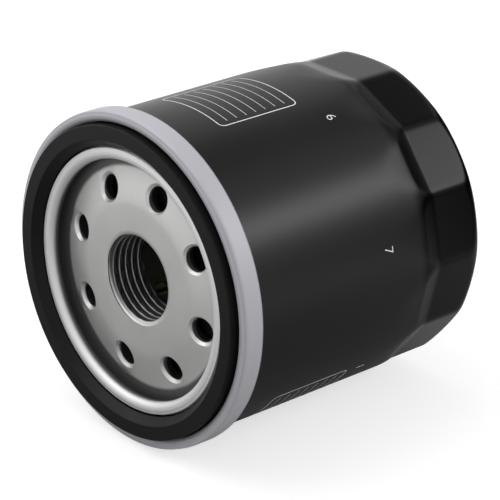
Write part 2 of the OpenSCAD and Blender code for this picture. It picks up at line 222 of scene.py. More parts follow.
class OilFilterFinish(bpy.types.PropertyGroup):
    paint: colour("Baked paint on the canister", (0.0052, 0.0052, 0.0053))
    gloss: colour("Sheen of the paint on the flutes", (0.0105, 0.0105, 0.0105))
    zinc: colour("Zinc plate on the lid", (0.68, 0.68, 0.68))
    lacquer: colour("Lacquer on the rolled seam", (0.50, 0.494, 0.53))
    plate: colour("Zinc plate on the threaded plate", (0.56, 0.56, 0.553))
    rubber: colour("Nitrile rubber of the gasket", (0.004, 0.004, 0.0043))
    nitrile: colour("Nitrile rubber of the drain-back valve", (0.012, 0.012, 0.012))
    tinplate: colour("Tinplate of the end caps", (0.40, 0.39, 0.35))
    steel: colour("Plain rolled steel", (0.42, 0.42, 0.43))
    spring: colour("Drawn spring steel", (0.33, 0.34, 0.36))
    paper: colour("Resin-treated filter paper", (0.50, 0.38, 0.20))
    adhesive: colour("Cured adhesive", (0.55, 0.30, 0.08))
    compound: colour("Sealing compound of the seam", (0.46, 0.42, 0.30))
    ink: colour("Printing ink", (0.80, 0.80, 0.80))


class OilFilterStudio(bpy.types.PropertyGroup):
    lens: number("Focal length", 191.05, unit="CAMERA")
    azimuth: angle("Turn of the camera from straight in front of the thread", 47.54)
    elevation: angle("Height of the camera above the axis", 24.14)
    roll: angle("Turn of the camera about its own axis", 1.56)
    floor_tilt: angle("Slope of the floor under the rim and the wall", 1.58)
    floor_size: number("Width of the floor", 4.0, unit="LENGTH")


class OilFilterSettings(bpy.types.PropertyGroup):
    canister: PointerProperty(type=OilFilterCanister)
    lid: PointerProperty(type=OilFilterLid)
    plate: PointerProperty(type=OilFilterPlate)
    gasket: PointerProperty(type=OilFilterGasket)
    element: PointerProperty(type=OilFilterElement)
    bypass: PointerProperty(type=OilFilterBypass)
    print: PointerProperty(type=OilFilterPrint)
    finish: PointerProperty(type=OilFilterFinish)
    studio: PointerProperty(type=OilFilterStudio)


def settings():
    """The sizes and colours that are set on the scene."""
    return bpy.context.scene.oil_filter


# --- Outlines and meshes ---

Reach = namedtuple("Reach", "radius bottom top")


def reach(node):
    """How far a node reaches about the thread's axis."""
    low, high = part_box(node)
    return Reach(high.x, -high.y, -low.y)


def laid(radius, turn, height):
    """The place of a point about the thread's axis, with the filter laid on its side."""
    return Vector((radius * math.cos(turn), -height, radius * math.sin(turn)))


def rounded(corners, closed=True):
    """Points of an outline whose corners are (radius, height) or (radius, height, round).

    A holding point stands on each side of a round, so that flat stretches shade flat.
    """
    spots = [Vector(corner[:2]) for corner in corners]
    rounds = [corner[2] if len(corner) > 2 else 0.0 for corner in corners]
    last = len(spots) - 1
    points = []
    for i, (spot, radius) in enumerate(zip(spots, rounds)):
        if radius == 0.0 or (not closed and i in (0, last)):
            points.append(spot)
            continue
        before = spots[i - 1] - spot
        after = spots[(i + 1) % len(spots)] - spot
        opening = before.angle(after)
        cut = radius / math.tan(opening / 2)
        towards, away = before.normalized(), after.normalized()
        centre = spot + (towards + away).normalized() * radius / math.sin(opening / 2)
        start = spot + towards * cut - centre
        swing = (spot + away * cut - centre).angle_signed(start)
        quarter = QUARTER_STEPS + 2 * round(radius / MM)
        steps = max(2, math.ceil(abs(swing) / (math.pi / 2) * quarter))
        hold = min(radius / 3, (before.length - cut) / 4)
        if hold > radius / 20:
            points.append(spot + towards * (cut + hold))
        for k in range(steps + 1):
            points.append(centre + Matrix.Rotation(swing * k / steps, 2) @ start)
        hold = min(radius / 3, (after.length - cut) / 4)
        if hold > radius / 20:
            points.append(spot + away * (cut + hold))
    return points


def sheet(corners, thickness):
    """Closed outline of sheet metal that follows the middle of the sheet given by its corners."""
    line = rounded(corners, closed=False)
    sides = {1: [], -1: []}
    for i, point in enumerate(line):
        back = (point - line[i - 1]).normalized() if i > 0 else None
        ahead = (line[i + 1] - point).normalized() if i < len(line) - 1 else None
        back = back or ahead
        ahead = ahead or back
        along = (back + ahead).normalized()
        across = Vector((-along.y, along.x)) / max(0.3, along.dot(ahead))
        for side, points in sides.items():
            points.append(point + across * side * thickness / 2)
    return sides[1] + sides[-1][::-1]


def new_object(name, data=None):
    """An object at the origin, which is empty when no data is given."""
    thing = bpy.data.objects.new(name, data or bpy.data.meshes.new(name))
    bpy.context.scene.collection.objects.link(thing)
    return thing


def piece_from(name, mesh):
    """An object from a bmesh, which is freed, with its faces pointing outwards."""
    bmesh.ops.recalc_face_normals(mesh, faces=mesh.faces)
    data = bpy.data.meshes.new(name)
    mesh.to_mesh(data)
    mesh.free()
    return new_object(name, data)


def merged(piece):
    """Merges a piece's doubles and points its faces outwards."""
    mesh = bmesh.new()
    mesh.from_mesh(piece.data)
    bmesh.ops.remove_doubles(mesh, verts=mesh.verts, dist=MM / 5000)
    bmesh.ops.recalc_face_normals(mesh, faces=mesh.faces)
    mesh.to_mesh(piece.data)
    mesh.free()
    return piece


def plain_mesh(thing):
    """The mesh that an object shows, with its modifiers or its writing made real."""
    view = bpy.context.evaluated_depsgraph_get()
    return bpy.data.meshes.new_from_object(thing.evaluated_get(view))


def bridge(mesh, rings, closed=True):
    """Faces between rings, any of which may be a single point on the axis.

    The last ring meets the first when it is closed, and otherwise both are filled.
    """
    for ring, after in zip(rings, rings[1:] + rings[:1] if closed else rings[1:]):
        steps = max(len(ring), len(after))
        if steps == 1:
            continue
        for k in range(steps):
            n = (k + 1) % steps
            corners = [ring[k % len(ring)], ring[n % len(ring)],
                       after[n % len(after)], after[k % len(after)]]
            mesh.faces.new(dict.fromkeys(corners))
    if not closed:
        mesh.faces.new(rings[0])
        mesh.faces.new(rings[-1])


def lathe(name, loop, segments, shape=None):
    """A closed outline turned about the thread's axis. shape moves a point's radius at a turn."""
    mesh = bmesh.new()
    rings = []
    for radius, height in loop:
        if radius < HAIR:
            rings.append([mesh.verts.new(laid(0.0, 0.0, height))])
            continue
        ring = []
        for k in range(segments):
            turn = FULL_TURN * k / segments
            moved = shape(radius, height, turn) if shape else radius
            ring.append(mesh.verts.new(laid(moved, turn, height)))
        rings.append(ring)
    bridge(mesh, rings)
    return piece_from(name, mesh)


def oblong(left, right, low, high, *rounds):
    """Corners of an upright oblong, all with the same round if one is given."""
    return [(left, low, *rounds), (right, low, *rounds),
            (right, high, *rounds), (left, high, *rounds)]


def settle(piece, slot, body, *nodes, crease=35, plain=False):
    """Gives a finished piece its material and body, and says what it stands for.

    A piece that bends between two bodies is given none of its own. Edges sharper than the
    crease, in degrees, shade sharp. A plain piece has the frame's material for its slot.
    """
    piece.data.materials.clear()
    piece.data.materials.append(bpy.data.materials[slot] if plain else material(slot))
    piece.data.shade_smooth()
    piece.data.set_sharp_from_angle(angle=math.radians(crease))
    if body:
        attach(piece, body)
    if nodes:
        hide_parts(*nodes)


# --- Node trees ---

def add(tree, kind, inputs=None, **values):
    """Adds a node. inputs maps a socket's name or number to a value, or to what feeds it."""
    node = tree.nodes.new(kind)
    for name, value in values.items():
        setattr(node, name, value)
    for key, value in (inputs or {}).items():
        if isinstance(value, bpy.types.NodeSocket):
            tree.links.new(value, node.inputs[key])
        else:
            node.inputs[key].default_value = value
    return node


def calc(tree, operation, *values):
    """A Math node's result."""
    return add(tree, "ShaderNodeMath", dict(enumerate(values)), operation=operation).outputs[0]


def new_group(name, kind, inputs, outputs):
    """A node group and its inputs. Each socket is (name, type) or (name, type, default)."""
    tree = bpy.data.node_groups.new(name, kind)
    for in_out, sockets in (("INPUT", inputs), ("OUTPUT", outputs)):
        for label, sort, *default in sockets:
            socket = tree.interface.new_socket(
                label, in_out=in_out, socket_type="NodeSocket" + sort)
            if default:
                socket.default_value = default[0]
    return tree, add(tree, "NodeGroupInput").outputs


def group(name, build):
    """A node group by name, built the first time it is asked for."""
    return bpy.data.node_groups.get(name) or build(name)


def grown(piece, tree, inputs):
    """The piece with a Geometry Nodes tree applied, as a plain mesh."""
    modifier = piece.modifiers.new(tree.name, "NODES")
    modifier.node_group = tree
    sockets = {s.name: s.identifier for s in tree.interface.items_tree if s.in_out == "INPUT"}
    for name, value in inputs.items():
        modifier[sockets[name]] = value
    data = plain_mesh(piece)
    piece.modifiers.remove(modifier)
    piece.data = data
    data.name = piece.name
    return merged(piece)


def copied(name, blank, copy, columns, cut=True, inputs=None):
    """The blank with copies of another object, which is used up, cut out of it or joined to it."""
    piece = grown(blank, group("copies_round_the_axis", around_tree), {
        "Copy": copy, "Columns": columns, "Cut": cut, **(inputs or {})})
    bpy.data.objects.remove(copy)
    piece.name = name
    return piece


def around_tree(name):
    """Geometry Nodes: copies of an object round the thread's axis, in rings along it.

    The copies are cut out of the piece, or joined to it, and the result is one mesh.
    """
    tree, given = new_group(name, "GeometryNodeTree", [
        ("Geometry", "Geometry"), ("Copy", "Object"), ("Columns", "Int", 8), ("Rings", "Int", 1),
        ("Ring Spacing", "Float", 0.0), ("Turn", "Float", 0.0), ("Stagger", "Float", 0.0),
        ("Cut", "Bool", True), ("Material", "Material"),
    ], [("Geometry", "Geometry")])
    total = calc(tree, "MULTIPLY", given["Columns"], given["Rings"])
    points = add(tree, "GeometryNodePoints", {"Count": total})
    index = add(tree, "GeometryNodeInputIndex").outputs[0]
    ring = calc(tree, "FLOOR", calc(tree, "DIVIDE", index, given["Columns"]))
    column = calc(tree, "MODULO", index, given["Columns"])
    shift = calc(tree, "MULTIPLY", calc(tree, "MODULO", ring, 2.0), given["Stagger"])
    step = calc(tree, "DIVIDE", FULL_TURN, given["Columns"])
    share = calc(tree, "MULTIPLY", calc(tree, "ADD", column, shift), step)
    turn = calc(tree, "ADD", share, given["Turn"])
    along = calc(tree, "MULTIPLY", ring, given["Ring Spacing"])
    place = add(tree, "ShaderNodeCombineXYZ", {"Y": along})
    placed = add(tree, "GeometryNodeSetPosition", {
        "Geometry": points.outputs[0], "Position": place.outputs[0]})
    spin = add(tree, "ShaderNodeCombineXYZ", {"Y": calc(tree, "MULTIPLY", turn, -1.0)})
    pattern = add(tree, "GeometryNodeObjectInfo", {"Object": given["Copy"]})
    copies = add(tree, "GeometryNodeInstanceOnPoints", {
        "Points": placed.outputs[0], "Instance": pattern.outputs["Geometry"],
        "Rotation": spin.outputs[0]})
    real = add(tree, "GeometryNodeRealizeInstances", {"Geometry": copies.outputs[0]}).outputs[0]
    cut = add(tree, "GeometryNodeMeshBoolean", operation="DIFFERENCE", solver="EXACT")
    tree.links.new(given["Geometry"], cut.inputs["Mesh 1"])
    tree.links.new(real, cut.inputs["Mesh 2"])
    both = add(tree, "GeometryNodeJoinGeometry")
    tree.links.new(real, both.inputs[0])
    tree.links.new(given["Geometry"], both.inputs[0])
    joined = add(tree, "GeometryNodeMergeByDistance", {
        "Geometry": both.outputs[0], "Distance": MM / 1000})
    choice = add(tree, "GeometryNodeSwitch", {
        "Switch": given["Cut"], "False": joined.outputs[0], "True": cut.outputs[0]},
        input_type="GEOMETRY")
    result = add(tree, "GeometryNodeRealizeInstances", {"Geometry": choice.outputs[0]})
    painted = add(tree, "GeometryNodeSetMaterial", {
        "Geometry": result.outputs[0], "Material": given["Material"]})
    add(tree, "NodeGroupOutput", {"Geometry": painted.outputs[0]})
    return tree


def coil_tree(name):
    """Geometry Nodes: a coil of wire about the thread's axis, with its end turns closed."""
    points_per_turn, sides = 64, 16
    tree, given = new_group(name, "GeometryNodeTree", [
        ("Geometry", "Geometry"), ("Turns", "Float", 4.0), ("Radius", "Float", 0.01),
        ("Wire", "Float", 0.001), ("Bottom", "Float", 0.0), ("Top", "Float", 0.02),
        ("Closed Turns", "Float", 0.75), ("Material", "Material"),
    ], [("Geometry", "Geometry")])
    line = add(tree, "GeometryNodeCurvePrimitiveLine")
    total = calc(tree, "MULTIPLY", given["Turns"], points_per_turn)
    samples = add(tree, "GeometryNodeResampleCurve", {"Curve": line.outputs[0], "Count": total})
    along = add(tree, "GeometryNodeSplineParameter").outputs["Factor"]
    turns = calc(tree, "MULTIPLY", along, given["Turns"])
    angle_now = calc(tree, "MULTIPLY", turns, FULL_TURN)
    closed_turns = calc(tree, "MULTIPLY", given["Closed Turns"], 2.0)
    open_turns = calc(tree, "SUBTRACT", given["Turns"], closed_turns)
    rise = calc(tree, "DIVIDE", calc(tree, "SUBTRACT", turns, given["Closed Turns"]), open_turns)
    climb = add(tree, "ShaderNodeClamp", {"Value": rise})
    half = calc(tree, "DIVIDE", given["Wire"], 2.0)
    span = calc(tree, "SUBTRACT", given["Top"], given["Bottom"])
    room = calc(tree, "SUBTRACT", span, given["Wire"])
    low = calc(tree, "ADD", given["Bottom"], half)
    height = calc(tree, "ADD", low, calc(tree, "MULTIPLY", climb.outputs[0], room))
    place = add(tree, "ShaderNodeCombineXYZ", {
        "X": calc(tree, "MULTIPLY", given["Radius"], calc(tree, "COSINE", angle_now)),
        "Y": calc(tree, "MULTIPLY", height, -1.0),
        "Z": calc(tree, "MULTIPLY", given["Radius"], calc(tree, "SINE", angle_now))})
    helix = add(tree, "GeometryNodeSetPosition", {
        "Geometry": samples.outputs[0], "Position": place.outputs[0]})
    section = add(tree, "GeometryNodeCurvePrimitiveCircle", {"Resolution": sides, "Radius": half})
    wire = add(tree, "GeometryNodeCurveToMesh", {
        "Curve": helix.outputs[0], "Profile Curve": section.outputs[0], "Fill Caps": True})
    real = add(tree, "GeometryNodeRealizeInstances", {"Geometry": wire.outputs[0]})
    painted = add(tree, "GeometryNodeSetMaterial", {
        "Geometry": real.outputs[0], "Material": given["Material"]})
    add(tree, "NodeGroupOutput", {"Geometry": painted.outputs[0]})
    return tree


# --- Materials ---

def grain_group(name):
    """Shader group: colour drift, roughness drift and a fine grain, all from Object coordinates."""
    patch_share, grain_share = 0.65, 0.35
    tree, given = new_group(name, "ShaderNodeTree", [
        ("Vector", "Vector"), ("Colour", "Color", (0.5, 0.5, 0.5, 1.0)), ("Drift", "Float", 0.1),
        ("Roughness", "Float", 0.5), ("Swing", "Float", 0.05), ("Patch", "Float", 0.01),
        ("Grain", "Float", 0.0004), ("Depth", "Float", 0.00001),
    ], [("Colour", "Color"), ("Roughness", "Float"), ("Normal", "Vector")])
    patches = add(tree, "ShaderNodeTexNoise", {
        "Vector": given["Vector"], "Scale": calc(tree, "DIVIDE", 1.0, given["Patch"]),
        "Detail": 3.0, "Roughness": 0.55})
    grains = add(tree, "ShaderNodeTexNoise", {
        "Vector": given["Vector"], "Scale": calc(tree, "DIVIDE", 1.0, given["Grain"]),
        "Detail": 2.0, "Roughness": 0.5})
    mixed = calc(tree, "ADD", calc(tree, "MULTIPLY", patches.outputs[0], patch_share),
                 calc(tree, "MULTIPLY", grains.outputs[0], grain_share))
    swing = calc(tree, "SUBTRACT", mixed, 0.5)
    drift = calc(tree, "MULTIPLY", given["Drift"], 2.0)
    gain = calc(tree, "ADD", 1.0, calc(tree, "MULTIPLY", swing, drift))
    tint = add(tree, "ShaderNodeVectorMath", {0: given["Colour"], "Scale": gain}, operation="SCALE")
    rough = calc(tree, "ADD", given["Roughness"],
                 calc(tree, "MULTIPLY", swing, calc(tree, "MULTIPLY", given["Swing"], 2.0)))
    bump = add(tree, "ShaderNodeBump", {
        "Height": grains.outputs[0], "Distance": given["Depth"], "Strength": 1.0})
    add(tree, "NodeGroupOutput", {
        "Colour": tint.outputs[0], "Roughness": rough, "Normal": bump.outputs[0]})
    return tree


def turned_group(name):
    """Shader group: faint streaks that run round the thread's axis, as on rolled metal."""
    sweep = 60.0               # How fast the streaks change along their own length.
    tree, given = new_group(name, "ShaderNodeTree", [
        ("Vector", "Vector"), ("Pitch", "Float", 0.0002), ("Depth", "Float", 0.000005),
        ("Normal", "Vector"),
    ], [("Radius", "Float"), ("Height", "Float"), ("Normal", "Vector")])
    axes = add(tree, "ShaderNodeSeparateXYZ", {"Vector": given["Vector"]}).outputs
    squares = calc(tree, "ADD", calc(tree, "MULTIPLY", axes["X"], axes["X"]),
                   calc(tree, "MULTIPLY", axes["Z"], axes["Z"]))
    radius = calc(tree, "SQRT", squares)
    place = add(tree, "ShaderNodeCombineXYZ", {
        "X": calc(tree, "DIVIDE", radius, given["Pitch"]),
        "Y": calc(tree, "DIVIDE", axes["Y"], given["Pitch"]),
        "Z": calc(tree, "MULTIPLY", calc(tree, "ADD", axes["X"], axes["Z"]), sweep)})
    streaks = add(tree, "ShaderNodeTexNoise", {
        "Vector": place.outputs[0], "Scale": 1.0, "Detail": 2.0, "Roughness": 0.6})
    bump = add(tree, "ShaderNodeBump", {
        "Height": streaks.outputs[0], "Distance": given["Depth"], "Strength": 1.0,
        "Normal": given["Normal"]})
    add(tree, "NodeGroupOutput", {
        "Radius": radius, "Height": calc(tree, "MULTIPLY", axes["Y"], -1.0),
        "Normal": bump.outputs[0]})
    return tree


class Finish:
    """A material under way: its tree, its Principled shader and the grain that feeds it."""

    MIX_SOCKETS = {"FLOAT": (2, 0), "RGBA": (6, 2)}      # A Mix node's first input and result.

    def __init__(self, name, key, roughness, drift=0.1, swing=0.05, patch=12 * MM,
                 grain=0.4 * MM, depth=0.004 * MM, metallic=0.0, **sockets):
        rgba = self.rgba(key)
        self.material = bpy.data.materials.new(name)
        self.material.use_nodes = True
        self.material.diffuse_color = rgba
        self.tree = self.material.node_tree
        self.shader = self.tree.nodes["Principled BSDF"]
        self.place = add(self.tree, "ShaderNodeTexCoord").outputs["Object"]
        self.grain = add(self.tree, "ShaderNodeGroup", {
            "Vector": self.place, "Colour": rgba, "Drift": drift, "Roughness": roughness,
            "Swing": swing, "Patch": patch, "Grain": grain, "Depth": depth,
        }, node_tree=group("surface_grain", grain_group))
        for source, target in (("Colour", "Base Color"), ("Roughness", "Roughness"),
                               ("Normal", "Normal")):
            self.link(self.grain.outputs[source], self.shader.inputs[target])
        for socket, value in {"Metallic": metallic, **sockets}.items():
            self.shader.inputs[socket.replace("_", " ")].default_value = value

    @staticmethod
    def rgba(key, dimmed=1.0):
        """One of the finish colours with an alpha of 1, made darker if asked."""
        return (*(value * dimmed for value in getattr(settings().finish, key)), 1.0)

    def link(self, source, target):
        """Feeds a socket from another one."""
        self.tree.links.new(source, target)

    def turned(self, pitch, depth):
        """Adds streaks round the axis, and returns their group's outputs."""
        streaks = add(self.tree, "ShaderNodeGroup", {
            "Vector": self.place, "Pitch": pitch, "Depth": depth,
            "Normal": self.grain.outputs["Normal"],
        }, node_tree=group("turned_streaks", turned_group)).outputs
        self.link(streaks["Normal"], self.shader.inputs["Normal"])
        return streaks

    def blend_over(self, mask, key, roughness, metallic, dimmed=1.0):
        """Lays another colour, roughness and metalness over the base where the mask is 1."""
        layers = (("Base Color", "RGBA", self.rgba(key, dimmed)),
                  ("Roughness", "FLOAT", roughness), ("Metallic", "FLOAT", metallic))
        for socket, kind, value in layers:
            target = self.shader.inputs[socket]
            mix = add(self.tree, "ShaderNodeMix", {0: mask}, data_type=kind)
            first, result = self.MIX_SOCKETS[kind]
            if target.is_linked:
                self.link(target.links[0].from_socket, mix.inputs[first])
            else:
                mix.inputs[first].default_value = target.default_value
            mix.inputs[first + 1].default_value = value
            self.link(mix.outputs[result], target)


def past(tree, value, edge, start, end):
    """A mask: 0 up to start, 1 from end on, both in millimetres past an edge, smooth between."""
    return add(tree, "ShaderNodeMapRange", {
        "Value": value, "From Min": edge + start * MM, "From Max": edge + end * MM,
    }, interpolation_type="SMOOTHSTEP").outputs[0]


def gloss_on_flutes(finish):
    """Paint is hazy on the drawn wall and glossier where the flutes stretch it."""
    flute_top = reach("canister").bottom + settings().canister.flute_length
    axes = add(finish.tree, "ShaderNodeSeparateXYZ", {"Vector": finish.place}).outputs
    fluted = past(finish.tree, axes["Y"], -flute_top, -2.2, 0.4)
    finish.blend_over(fluted, "gloss", roughness=0.26, metallic=1.0)


def lacquer_on_roll(finish):
    """Lavender-grey lacquer on the outer roll, and shade down the inside of the bead."""
    tree, places = finish.tree, finish.turned(pitch=0.12 * MM, depth=0.002 * MM)
    lacquered = past(tree, places["Radius"], reach("sealing_gasket").radius, 0.0, 0.3)
    finish.blend_over(lacquered, "lacquer", roughness=0.55, metallic=0.15)
    inside = past(tree, places["Radius"], bead_edges()[0], 0.8, 0.3)
    under = past(tree, places["Height"], reach("threaded_plate").top, 1.7, 0.7)
    # Painted shade on the bead's inner leg, low down towards the plate.
    finish.blend_over(calc(tree, "MULTIPLY", inside, under), "zinc",
                      roughness=0.5, metallic=0.6, dimmed=0.12)


def oil_on_plate(finish):
    """Oil in the thread's grooves and down the inlet holes, and shade in the bore and the dish."""
    plate, bore, top = settings().plate, bore_radius(), reach("threaded_plate").top
    bore_shade, foot_shade = 0.65, 0.9
    tree, places = finish.tree, finish.turned(pitch=0.3 * MM, depth=0.0008 * MM)
    outside = past(tree, places["Radius"], bore + plate.thread_depth, 0.02, 0.15)
    below = past(tree, places["Height"], top - plate.lead_depth, 0.0, -0.4)
    grooved = calc(tree, "SUBTRACT", past(tree, places["Radius"], bore, 0.0, 0.22), outside)
    drilled = past(tree, places["Height"], top - plate.fall, -0.2, -0.8)
    painted_recess_shade = calc(tree, "MAXIMUM", calc(tree, "MULTIPLY", grooved, below),
                calc(tree, "MULTIPLY", outside, drilled))
    threaded = calc(tree, "MULTIPLY", calc(tree, "SUBTRACT", 1.0, outside), below)
    # Painted shade over the whole threaded bore.
    finish.blend_over(calc(tree, "MULTIPLY", threaded, bore_shade), "plate",
                      roughness=0.38, metallic=1.0, dimmed=0.25)
    # Painted shade on the low flat beside the lid's bead, past the foot of the dish.
    foot = past(tree, places["Radius"], dish_rim(), -0.6, 0.3)
    finish.blend_over(calc(tree, "MULTIPLY", foot, foot_shade), "plate",
                      roughness=0.5, metallic=0.8, dimmed=0.12)
    # Painted shade in the thread's grooves, and on the inlet holes' walls and all else below the
    # low flat.
    finish.blend_over(painted_recess_shade, "plate", roughness=0.38, metallic=0.8, dimmed=0.1)


def streaks_round(finish):
    """Streaks round the axis, as pressing or rolling leaves them."""
    finish.turned(pitch=0.25 * MM, depth=0.002 * MM)


PRESSED = dict(drift=0.12, swing=0.07, patch=6 * MM, grain=0.3 * MM, depth=0.002 * MM, metallic=1.0)
FINISHES = {
    "black_paint": (dict(
        key="paint", roughness=0.35, drift=0.3, swing=0.03, patch=20 * MM, grain=0.25 * MM,
        depth=0.0012 * MM, Specular_IOR_Level=0.22), gloss_on_flutes),
    "lid_zinc": (dict(
        key="zinc", roughness=0.6, drift=0.08, swing=0.06, patch=5 * MM, grain=0.3 * MM,
        depth=0.002 * MM, metallic=1.0), lacquer_on_roll),
    "plate_zinc": (dict(
        key="plate", roughness=0.46, drift=0.12, swing=0.08, patch=8 * MM, grain=0.22 * MM,
        depth=0.003 * MM, metallic=1.0), oil_on_plate),
    "gasket_rubber": (dict(
        key="rubber", roughness=0.42, drift=0.35, swing=0.1, patch=4 * MM, grain=0.15 * MM,
        depth=0.003 * MM, Specular_IOR_Level=0.15),),
    "valve_rubber": (dict(
        key="nitrile", roughness=0.5, drift=0.3, swing=0.1, patch=5 * MM,
        Specular_IOR_Level=0.3),),
    "seam_compound": (dict(key="compound", roughness=0.6, drift=0.2),),
    "tinplate": (dict(key="tinplate", roughness=0.3, **PRESSED), streaks_round),
    "tube_steel": (dict(key="steel", roughness=0.35, **PRESSED), streaks_round),
    "spring_steel": (dict(
        key="spring", roughness=0.28, drift=0.15, swing=0.08, patch=3 * MM, metallic=1.0),),
    "filter_paper": (dict(
        key="paper", roughness=0.8, drift=0.2, swing=0.1, patch=2 * MM, grain=0.12 * MM,
        depth=0.03 * MM, Specular_IOR_Level=0.2),),
    "adhesive": (dict(
        key="adhesive", roughness=0.3, drift=0.35, patch=3 * MM, grain=0.8 * MM,
        depth=0.03 * MM, Coat_Weight=0.4),),
    "white_ink": (dict(key="ink", roughness=0.45, drift=0.06),),
}


@cache
def material(name):
    """The material made here for a name, which the frame's own material may have as well."""
    values, *layers = FINISHES[name]
    finish = Finish(name, **values)
    for layer in layers:
        layer(finish)
    return finish.material


# --- Outside pieces ---

def bore_radius():
    """Radius of the plate's bore, at the crests of the thread."""
    return frame["record"]["mounts"][0]["dims"]["r_mm"] * MM


def gasket_edges():
    """Inner and outer radius of the gasket."""
    outer = reach("sealing_gasket").radius
    return outer - settings().gasket.width, outer


def bead_edges():
    """Inner and outer radius of the lid's bead."""
    outer = gasket_edges()[0] - settings().gasket.side_gap
    return outer - settings().lid.bead_width, outer


def dish_rim():
    """Radius at which the plate's slope meets its outer flat."""
    return bead_edges()[0] - settings().plate.dish_gap


def seam_layers():
    """Radii and heights of the rolled seam, from the wall outwards."""
    can, lid = settings().canister, settings().lid
    rim, bottom, top = reach("seaming_lid")
    hook = can.radius + lid.sheet + 2 * lid.layer_gap
    middle = (can.radius + hook) / 2
    return SimpleNamespace(
        rim=rim, top=top, bottom=bottom, hook=hook, channel=2 * middle - rim,
        fold=(hook - can.radius) / 2 + can.sheet / 2,
        cover=rim - lid.sheet / 2 - middle,
        tuck=(rim - lid.sheet - (hook - lid.layer_gap)) / 2 + lid.sheet / 2)


def flat_radius(turn, inscribed, flats, sharpness):
    """Radius of a rounded regular outline at a turn, with a flat midway between ridges."""
    step = FULL_TURN / flats
    nearest = math.floor(turn / step)
    total = 0.0
    for k in (nearest - 1, nearest, nearest + 1):
        off = turn - (k + 0.5) * step
        total += math.cos(off) ** sharpness
    return inscribed * total ** (-1 / sharpness)


def soft_least(first, second, softness):
    """The lesser of two values, with the change from one to the other made round."""
    near = max(softness - abs(first - second), 0.0) / softness
    return min(first, second) - near * near * softness / 4


def ease(value):
    """0 to 1, with a level start and finish."""
    value = min(max(value, 0.0), 1.0)
    return value * value * (3 - 2 * value)


def make_canister():
    """Draws the black canister."""
    can, lid, seam = settings().canister, settings().lid, seam_layers()
    flute_rows, shoulder_rows, wall_steps = 28, 10, (2, 12, 24)
    bottom = reach("canister").bottom
    flute_top = bottom + can.flute_length
    middle = can.radius - can.sheet / 2
    low = bottom + can.sheet / 2
    fold_top = seam.top - lid.sheet / 2 - seam.cover - lid.compound + seam.fold
    tuck_height = seam.bottom + seam.tuck + lid.sheet / 2
    corner = can.end_round - can.sheet / 2
    heights = [low + corner + k * (can.flute_length - corner) / flute_rows
               for k in range(1, flute_rows + 1)]
    heights += [flute_top + can.shoulder * k / shoulder_rows for k in range(1, shoulder_rows + 1)]
    heights += [flute_top + can.shoulder + k * MM for k in wall_steps]
    centre_line = [(0.0, low), (middle, low, corner)]
    centre_line += [(middle, height) for height in heights + [seam.bottom]]
    centre_line += [(middle, fold_top, seam.fold),
                    (seam.hook + can.sheet / 2, fold_top, seam.fold),
                    (seam.hook + can.sheet / 2, tuck_height)]

    def fluted(radius, height, turn):
        """The flats cut across the wall and its rounded end, as they do on the inside."""
        above = height - flute_top + can.flute_ramp
        if above > can.flute_ramp + can.shoulder:
            return radius
        ramp = min(max(above / can.flute_ramp, 0.0), 1.0)
        rest = can.flute_drop - can.flute_step + can.crease
        rise = can.flute_step * ramp + rest * ease(above / (can.flute_ramp + can.shoulder))
        inscribed = can.radius - can.flute_drop + rise
        limit = flat_radius(turn, inscribed, can.flutes, can.ridge_sharpness)
        below = max(low + corner - height, 0.0)
        skin = math.hypot(radius - middle + corner, below) - corner
        if skin < 0.0:
            limit -= can.sheet
        return soft_least(radius, limit, can.crease * (1 + min(below / MM, 1.5)))

    piece = lathe("canister_shell", sheet(centre_line, can.sheet), 32 * can.flutes, fluted)
    settle(piece, "black_paint", "housing", "canister", crease=40)


def make_lid():
    """Rolls the lid and its seam."""
    lid, plate, seam = settings().lid, settings().plate, seam_layers()
    half, bend = lid.sheet / 2, 0.3 * MM
    plate_top = reach("threaded_plate").top
    low = plate_top - plate.fall
    bead_inner, bead_outer = bead_edges()
    bead = lid.bead_width / 2 - half
    crest = plate_top + lid.bead_height - half
    cover_top = seam.top - half
    tuck_low = seam.bottom + half
    rim = seam.rim - half
    centre_line = [
        (bead_inner + half, low + lid.leg_gap), (bead_inner + half, crest, bead),
        (bead_outer - half, crest, bead), (bead_outer - half, low + half, bend),
        (seam.channel + half, low + half, bend), (seam.channel + half, cover_top, seam.cover),
        (rim, cover_top, seam.cover), (rim, tuck_low, seam.tuck),
        (rim - 2 * seam.tuck, tuck_low, seam.tuck),
        (rim - 2 * seam.tuck, cover_top - seam.cover - lid.compound)]
    piece = lathe("lid_with_rolled_seam", sheet(centre_line, lid.sheet), 288)
    settle(piece, "lid_zinc", "housing", "seaming_lid", crease=50)


def make_gasket():
    """Moulds the sealing gasket."""
    gasket = settings().gasket
    inner, outer = gasket_edges()
    _, bottom, top = reach("sealing_gasket")
    edge = gasket.edge_round
    loop = rounded([
        (inner, bottom, edge), (outer, bottom, edge), (outer, top, edge),
        (inner + gasket.bevel_width, top, 1.5 * edge), (inner, top - gasket.bevel_height, edge)])
    settle(lathe("gasket_ring", loop, 288), "gasket_rubber", "housing", "sealing_gasket", crease=60)


def thread_radius(bore, height, turn, mouth, foot):
    """Radius of the threaded bore: flat crests, sloping flanks and rounded roots."""
    plate = settings().plate
    crest_edge, flank = 0.86, 0.72      # Shares of the way from a root to a crest.
    phase = (height / plate.thread_pitch - turn / FULL_TURN) % 1.0
    off_root = abs(phase - 0.5) * 2
    groove = ease((crest_edge - off_root) / flank)
    lead = max(height - (mouth - plate.lead_depth), (foot + plate.lead_depth) - height)
    cone = bore + lead / plate.lead_depth * plate.lead_width
    return max(bore + plate.thread_depth * groove, cone)


def dish_slope(height, steps=16):
    """Points of one face of the dished slope, from the raised middle out to the low flat."""
    plate, rim = settings().plate, dish_rim()
    return [(rim - plate.dish * (1 - k / steps), height - plate.fall * ease(k / steps))
            for k in range(steps + 1)]


